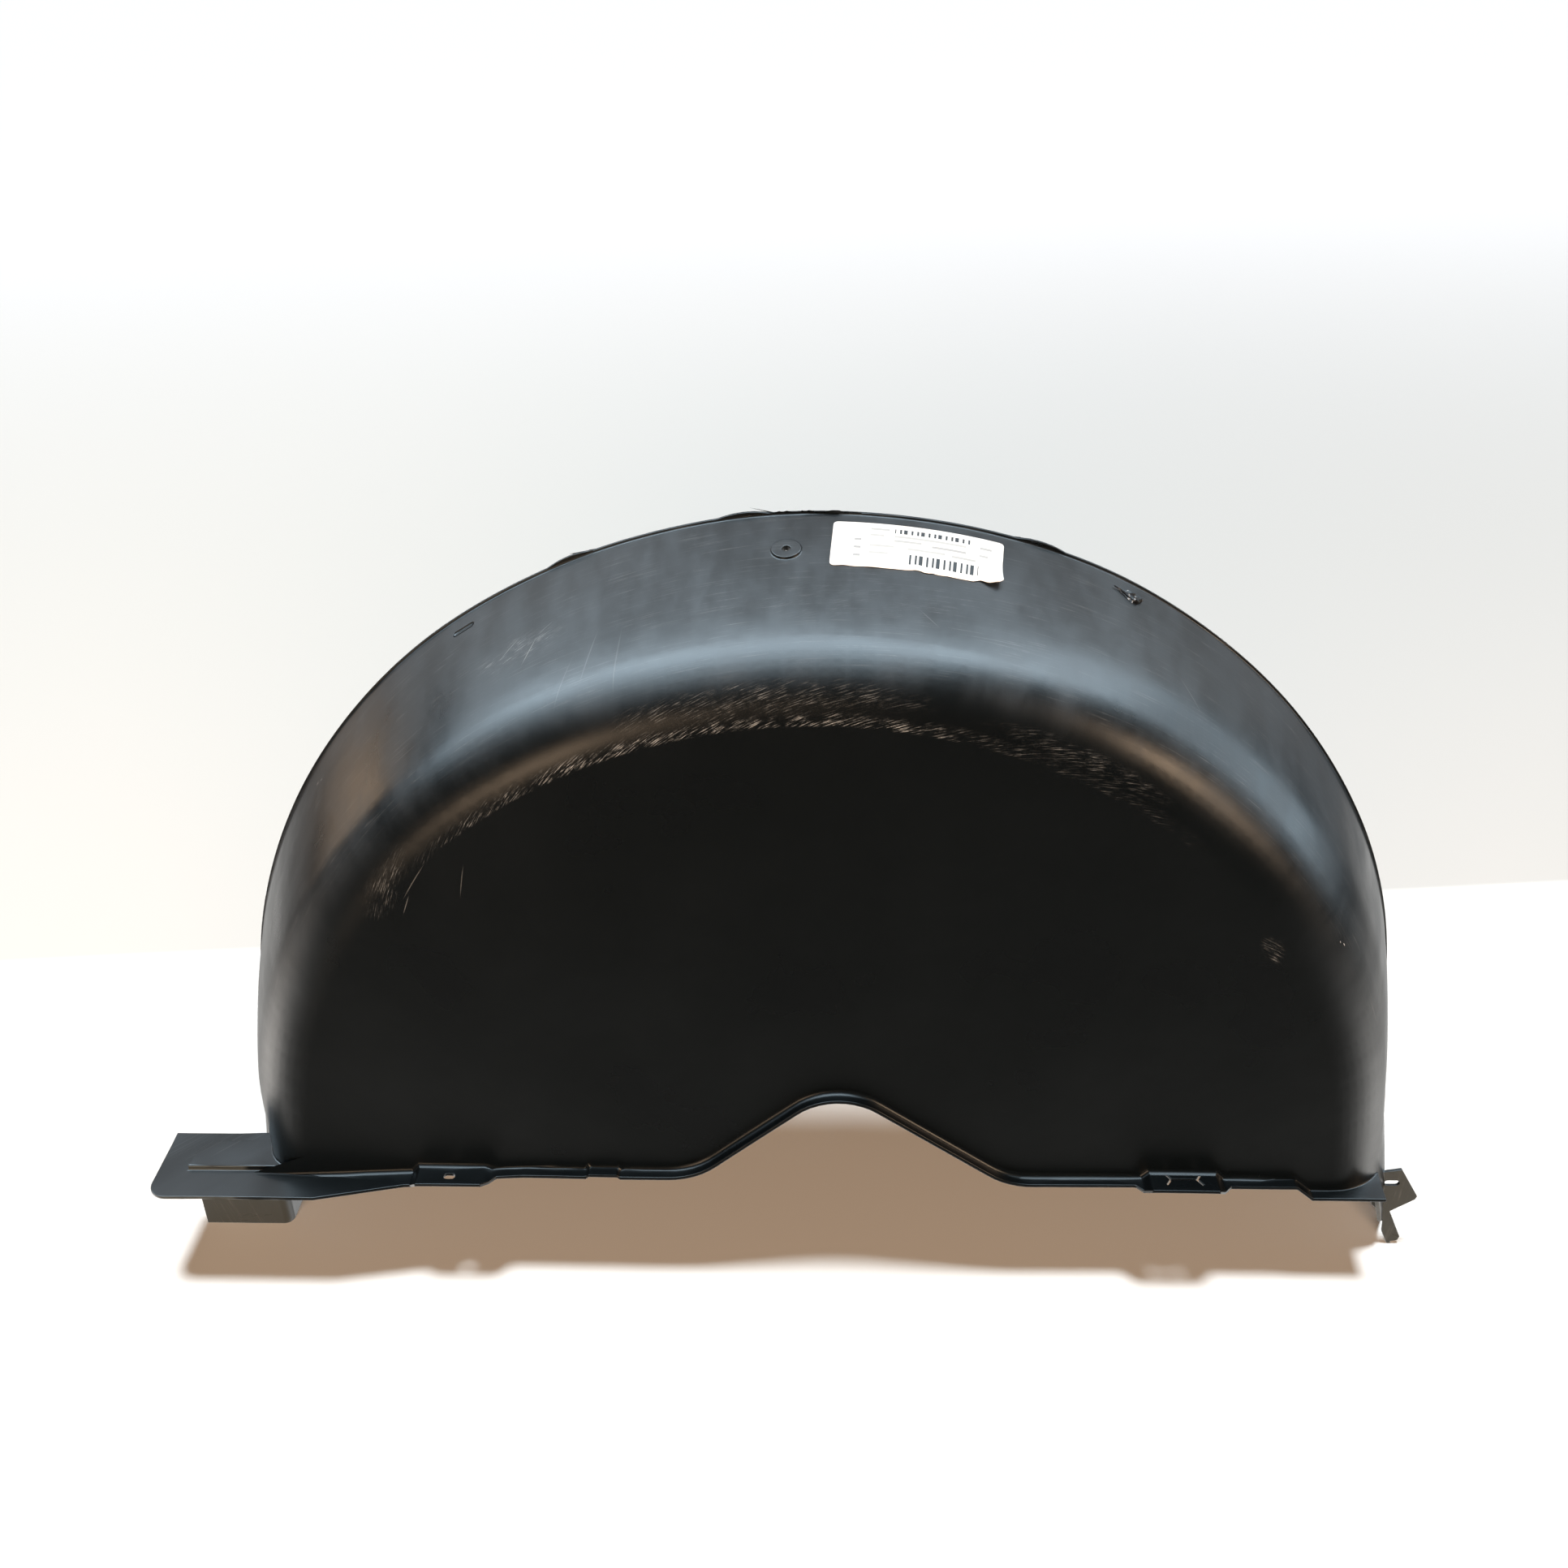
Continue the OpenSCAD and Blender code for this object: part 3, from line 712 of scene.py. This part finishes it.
def torn_nylon():
    """Black moulded nylon, dull, with pale crumbs where it was torn."""
    material, tree, surface = new_material("Torn black nylon")
    torn = noise_of(tree, arch_polar(tree)["place"], 2.38, 2.38, 3.0, 0.6).ramp(0.55, 0.7)
    feed(tree, surface, [("Base Color", coated(tree, linear("#101012"), (torn, linear("#85898d"))))])
    surface.inputs["Roughness"].default_value = 0.6
    return material


def pale_floor(colour):
    """Matt pale floor paint without gloss, which takes soft shadows, with a back wall's shading painted on
    behind the liner.
    """
    material, tree, surface = new_material("Pale studio floor")
    x, y, _ = parts_of(tree, add_node(tree, "ShaderNodeTexCoord").outputs["Object"])
    # Painted shade in place of a back wall: a slightly darker tone starts behind the liner along a line that
    # runs a little away to the right, and it darkens to the right and lightens far off like the wall's
    # shading
    behind = y - (x * 0.0968 + 0.3828)
    painted_wall_shading = coated(
        tree, linear("#e8e5e0"), (x.ramp(-1.2, 1.2), linear("#dbd9d6")),
        (behind.ramp(0.7, 4.5), linear("#fbf6f5")))
    feed(tree, surface, [("Base Color", coated(tree, colour, (behind.ramp(-0.004, 0.004), painted_wall_shading)))])
    surface.inputs["Roughness"].default_value = 0.9
    surface.inputs["Specular IOR Level"].default_value = 0.0
    return material


# Pieces


class ARCH_OT_moulding(bpy.types.Operator):
    """Dresses the liner's one moulding"""

    bl_idname = "arch_liner.moulding"
    bl_label = "Liner moulding"

    def execute(self, context):
        sizes = context.scene.arch_liner
        plastic = moulded_polypropylene()
        piece = new_object("liner_moulding", refined_moulding(sizes.step, sizes.flat_step))
        weigh_edges(piece.data, sizes)
        edge = piece.modifiers.new("Edges", "BEVEL")
        edge.width = sizes.fold_r
        edge.segments = 3
        edge.limit_method = "WEIGHT"
        edge.use_clamp_overlap = False
        edge.miter_outer = "MITER_SHARP"
        bake(piece)
        warp(piece, plastic)
        smooth(piece.data, 35)
        # Flat faces stay flat to the eye, right up to their rounded edges
        piece.modifiers.new("Flat faces", "WEIGHTED_NORMAL").keep_sharp = True
        bake(piece)
        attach(piece, "root")
        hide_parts("liner")
        return {"FINISHED"}


def label_sheet(sizes):
    """The label's sheet on the crown, with round corners, a torn near edge and a loose corner."""
    ends = (0, 0.002, 0.006, 0.012, 0.02)
    columns = [*ends, *np.linspace(LABEL_CORNER, 1 - LABEL_CORNER, 70), *(1 - s for s in reversed(ends))]
    rows = 22
    rng = np.random.default_rng(4)
    jag = np.interp(columns, np.linspace(0, 1, 26), rng.normal(0, 0.5, 26))
    points, uvs, faces = [], [], []
    for i, s in enumerate(columns):
        out = max(0.0, LABEL_CORNER - s, s - 1 + LABEL_CORNER) / LABEL_CORNER
        inset = LABEL_CORNER * 2.4 * (1 - math.sqrt(max(0.0, 1 - out * out)))
        # The near edge is torn: it steps in a little left of the middle and again towards the loose corner
        torn = 1.6 * max(0, 1 - abs(s - 0.5) / 0.06) + 2.0 * max(0, 1 - abs(s - 0.88) / 0.05)
        torn = max(0.0, torn + 0.6 * jag[i])
        for j in range(rows + 1):
            t = inset + (1 - 2 * inset) * j / rows
            y = LABEL_NEAR + (LABEL_FAR - LABEL_NEAR) * t + torn * (1 - t) ** 3
            angle = LABEL_START + (LABEL_END - LABEL_START) * s + math.radians(0.35) * (t - 0.5)
            wave = math.sin(31 * s + 3 * t) * math.sin(7 * t + 9 * s) * (1 - t) ** 2
            loose = max(0.0, (s - 0.86) / 0.14) ** 1.6 * max(0.0, 1 - t / 0.55) ** 1.6
            lift = LABEL_LIFT + sizes.wrinkle / MM * (0.5 + 0.5 * wave) + sizes.curl / MM * loose
            points.append(on_crown(angle, y, lift))
            uvs.append((s, t))
    for i in range(len(columns) - 1):
        for j in range(rows):
            a = i * (rows + 1) + j
            faces.append((a, a + rows + 1, a + rows + 2, a + 1))
    mesh = mesh_from("paper_label_sheet", points, faces)
    layer = mesh.uv_layers.new(name="Sheet")
    for loop in mesh.loops:
        layer.data[loop.index].uv = uvs[loop.vertex_index]
    return mesh


class ARCH_OT_label(bpy.types.Operator):
    """Lays the paper label on the crown, with its torn near edge and its loose corner"""

    bl_idname = "arch_liner.label"
    bl_label = "Paper label"

    def execute(self, context):
        sizes = context.scene.arch_label
        piece = new_object("paper_label_sheet", label_sheet(sizes))
        thick = piece.modifiers.new("Paper", "SOLIDIFY")
        thick.thickness = sizes.thickness
        thick.offset = -1
        bake(piece)
        warp(piece, label_paper())
        smooth(piece.data, 40)
        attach(piece, "root")
        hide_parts("paper_label")
        return {"FINISHED"}


def torn_lump():
    """A rough lump of plastic on the crown, with one end drawn out into a thin sliver."""
    rng = np.random.default_rng(7)
    lump = bmesh.new()
    bmesh.ops.create_icosphere(lump, subdivisions=3, radius=1.0)
    turn = Matrix.Rotation(CLIP_ANGLE, 3, "Y") @ Matrix.Rotation(FLARE, 3, "X")
    foot = on_crown(CLIP_ANGLE, CLIP_Y, CLIP_LIFT)
    for v in lump.verts:
        x, y, z = v.co
        rough = 1 + 0.22 * math.sin(7 * x + 2) * math.sin(5 * y + 1) + 0.12 * rng.normal()
        tail = max(0.0, -x - 0.25)
        slim = 1 - 0.75 * min(1.0, tail / 0.5)
        shaped = Vector((x * (7.0 + 9.0 * tail), y * 4.2 * slim + 3.5 * tail, max(z, -0.2) * 3.4 * slim))
        v.co = foot + turn @ shaped * rough * MM
    mesh = bpy.data.meshes.new("push_clip_rest")
    lump.to_mesh(mesh)
    lump.free()
    return mesh


class ARCH_OT_clip(bpy.types.Operator):
    """Puts the torn rest of a push clip in the crown"""

    bl_idname = "arch_liner.clip"
    bl_label = "Broken push clip"

    def execute(self, context):
        piece = new_object("push_clip_rest", torn_lump())
        warp(piece, torn_nylon())
        smooth(piece.data, 25)
        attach(piece, "root")
        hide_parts("clip_stub")
        return {"FINISHED"}


# Stage


def studio_world(sizes):
    """The room that the gloss shows: a long light, the pale wall, the floor's return and a few lamps."""
    world = bpy.data.worlds.new("Studio light")
    world.use_nodes = True
    tree = world.node_tree
    tree.nodes.clear()
    toward = add_node(tree, "ShaderNodeTexCoord").outputs["Generated"]
    x, y, z = parts_of(tree, toward)

    def glow(colour, strength):
        return add_node(
            tree, "ShaderNodeBackground", [("Color", linear(colour)), ("Strength", strength)]).outputs[0]

    # A long bluish light that runs over the arch from left to right. It ends sharply behind the top, fades
    # out slowly towards the front, stops short of the floor on the left, and thins out low down on the right
    back = (y - x * x * 0.16).ramp(0.31, 0.44, 1.0, 0.0)
    start = x.ramp(0.1, 0.7, 0.0, 0.85) + x.ramp(-0.8, -0.3, 0.30, 0.0)
    front = (y - start).ramp(-0.85, x.ramp(0.1, 0.7, 0.28, -0.45))
    low = x.by("GREATER_THAN", 0.0) * -0.45 + 0.33
    band = back * front * z.ramp(low, low + 0.14)
    band *= x.ramp(0.60, 0.82, 1.1, 0.35) * x.ramp(-0.82, -0.66, 0.55, 1.0)
    lights = [glow("#cfe6f5", band * sizes.overhead)]

    # The pale wall behind, brighter towards its top. Something dark stands in front of its middle and right:
    # the lip's top shows it
    wall = y + z * 0.37 - x.by("ABSOLUTE") * 0.8
    behind = wall.ramp(0.03, 0.13) * y.ramp(0.0, 0.3)
    behind *= y.ramp(0.66, 0.76) * x.ramp(-0.33, -0.15, 0.15, 0.92) * -1.0 + 1.0
    behind *= z.ramp(-0.45, 0.45, x.ramp(0.0, 0.5, 0.3, 2.0), 1.0)
    lights.append(glow("#f2f4f6", behind * sizes.sky))

    # The floor's return from both sides, while the front stays dark, and a faint light all round
    off = (y + 0.02).by("DIVIDE", 0.38)
    side = (off * off * -1.0).by("EXPONENT")
    floor = side * x.ramp(-0.5, 0.5, 2.0, 1.7) + y.ramp(-0.75, 0.2, 0.03, 0.7)
    lights.append(glow("#f8f6f2", floor * z.ramp(-0.28, -0.40)))
    lights.append(glow("#eef3f6", 0.04))

    for colour, strength, sharp, azimuth, height in LAMPS:
        a, e = math.radians(azimuth), math.radians(height)
        at = (math.sin(a) * math.cos(e), math.cos(a) * math.cos(e), math.sin(e))
        near = add_node(tree, "ShaderNodeVectorMath", [(0, toward), (1, at)], operation="DOT_PRODUCT")
        bell = (Amount(tree, near.outputs["Value"]) * sharp - sharp).by("EXPONENT")
        lights.append(glow(colour, bell * strength))
    room = lights[0]
    for one in lights[1:]:
        room = add_node(tree, "ShaderNodeAddShader", [(0, room), (1, one)]).outputs[0]

    # The eye sees an even pale room where the floor ends
    seen = add_node(tree, "ShaderNodeLightPath").outputs["Is Camera Ray"]
    shown = add_node(tree, "ShaderNodeMixShader", [(0, seen), (1, room), (2, glow("#f3f2ef", 1.0))])
    add_node(tree, "ShaderNodeOutputWorld", [("Surface", shown.outputs[0])])
    world.cycles_visibility.diffuse = False
    return world


class ARCH_OT_stage(bpy.types.Operator):
    """Lays the pale floor and sets the studio light and the camera"""

    bl_idname = "arch_liner.stage"
    bl_label = "Floor, light and camera"

    def execute(self, context):
        sizes = context.scene.arch_stage
        self.lay_floor(sizes)
        context.scene.world = studio_world(sizes)
        self.hang_lamps(sizes)
        self.set_camera(context)
        view = context.scene.view_settings
        view.view_transform = "Standard"
        view.look = "None"
        view.exposure = 0.0
        return {"FINISHED"}

    def lay_floor(self, sizes):
        half = 40.0
        corners = [(-half, -half, 0), (half, -half, 0), (half, half, 0), (-half, half, 0)]
        floor = new_object("floor", mesh_from("floor", corners, [(0, 1, 2, 3)]))
        floor.data.materials.append(pale_floor(tuple(sizes.floor)))
        floor.visible_glossy = False

    def hang_lamps(self, sizes):
        """The room's light on floor and object: soft white from above, warm and low from the front."""
        above = bpy.data.lights.new("Soft light above", "SUN")
        above.energy = sizes.above
        above.angle = math.radians(9)
        above.color = linear("#f4fbff")
        front = bpy.data.lights.new("Warm light in front", "AREA")
        front.shape = "RECTANGLE"
        front.size, front.size_y = 3.2, 1.0
        front.energy = sizes.front
        front.color = linear("#ffd9b6")
        for lamp, place, target in (
            (above, (0.0, -0.2, 3.0), (0, 0, 0)), (front, (0, -3.4, 0.75), (0, 0, 0.1))):
            held = bpy.data.objects.new(lamp.name, lamp)
            held.location = place
            held.rotation_euler = (Vector(target) - Vector(place)).to_track_quat("-Z", "Y").to_euler()
            held.visible_glossy = False
            bpy.context.scene.collection.objects.link(held)

    def set_camera(self, context):
        """The picture's own viewing angle: from the side wall's front, looking thirty degrees down."""
        camera = bpy.data.cameras.new("Camera")
        camera.sensor_width = SENSOR
        camera.lens = SENSOR * FOCAL_PX / FRAME_PX
        camera.clip_end = 200.0
        eye = bpy.data.objects.new("Camera", camera)
        turn = Matrix((EYE_RIGHT, EYE_UP, -EYE_AHEAD)).transposed().to_4x4()
        eye.matrix_world = Matrix.Translation(to_row(*EYE_PLACE)) @ turn
        context.scene.collection.objects.link(eye)
        context.scene.camera = eye


class ARCH_PT_panel(bpy.types.Panel):
    """Lists the liner's pieces"""

    bl_idname = "ARCH_PT_panel"
    bl_label = "Wheel arch liner"
    bl_space_type = "VIEW_3D"
    bl_region_type = "UI"
    bl_category = "Arch liner"

    def draw(self, context):
        for group, operators in PARTS:
            box = self.layout.box()
            held = getattr(context.scene, group)
            for name in held.__annotations__:
                box.prop(held, name)
            for one in operators:
                box.operator(one.bl_idname)


PARTS = (
    ("arch_liner", (ARCH_OT_moulding, ARCH_OT_clip)),
    ("arch_label", (ARCH_OT_label,)),
    ("arch_stage", (ARCH_OT_stage,)),
)
SETTINGS = {"arch_liner": LinerSettings, "arch_label": LabelSettings, "arch_stage": StageSettings}
CLASSES = (*SETTINGS.values(), *(one for _, many in PARTS for one in many), ARCH_PT_panel)


def register():
    for one in CLASSES:
        bpy.utils.register_class(one)
    for name, group in SETTINGS.items():
        setattr(bpy.types.Scene, name, bpy.props.PointerProperty(type=group))


def unregister():
    for name in SETTINGS:
        delattr(bpy.types.Scene, name)
    for one in reversed(CLASSES):
        bpy.utils.unregister_class(one)


def main():
    register()
    bpy.ops.arch_liner.moulding()
    bpy.ops.arch_liner.label()
    bpy.ops.arch_liner.clip()
    bpy.ops.arch_liner.stage()


if __name__ == "__main__":
    main()
